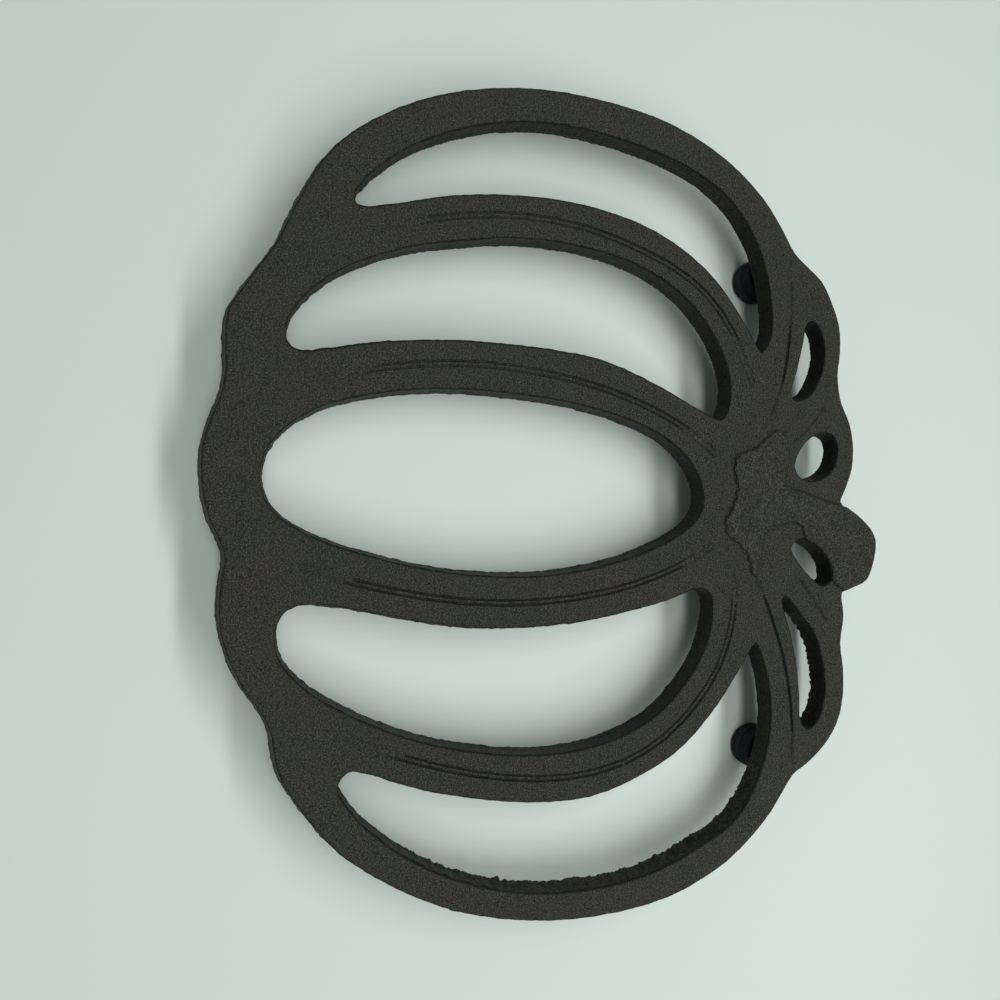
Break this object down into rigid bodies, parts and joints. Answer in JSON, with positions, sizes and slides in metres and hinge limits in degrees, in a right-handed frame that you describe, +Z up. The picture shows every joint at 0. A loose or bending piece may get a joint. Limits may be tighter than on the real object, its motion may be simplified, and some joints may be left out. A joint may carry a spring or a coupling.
{
  "type": "trivet",
  "caption": "Pierced cast-iron trivet in the form of a ribbed pumpkin with a calyx and stem, standing on push-on rubber feet.",
  "frame": {"origin": "on the table, under the middle of the trivet's bounding box", "axes": "+X across the pumpkin, +Y from its base to its stem, +Z up"},
  "size_m": [0.173, 0.1491, 0.0158],
  "materials": {
    "cast_iron_body": "sand-cast iron, seasoned dark brown-black, matt and grainy",
    "rubber_feet": "smooth moulded rubber, blue-black, satin"
  },
  "bodies": {
    "root": {"trivet_casting": "cast_iron_body", "foot_stem_left": "rubber_feet", "foot_stem_right": "rubber_feet", "foot_base_left": "rubber_feet", "foot_base_right": "rubber_feet"}
  },
  "joints": []
}
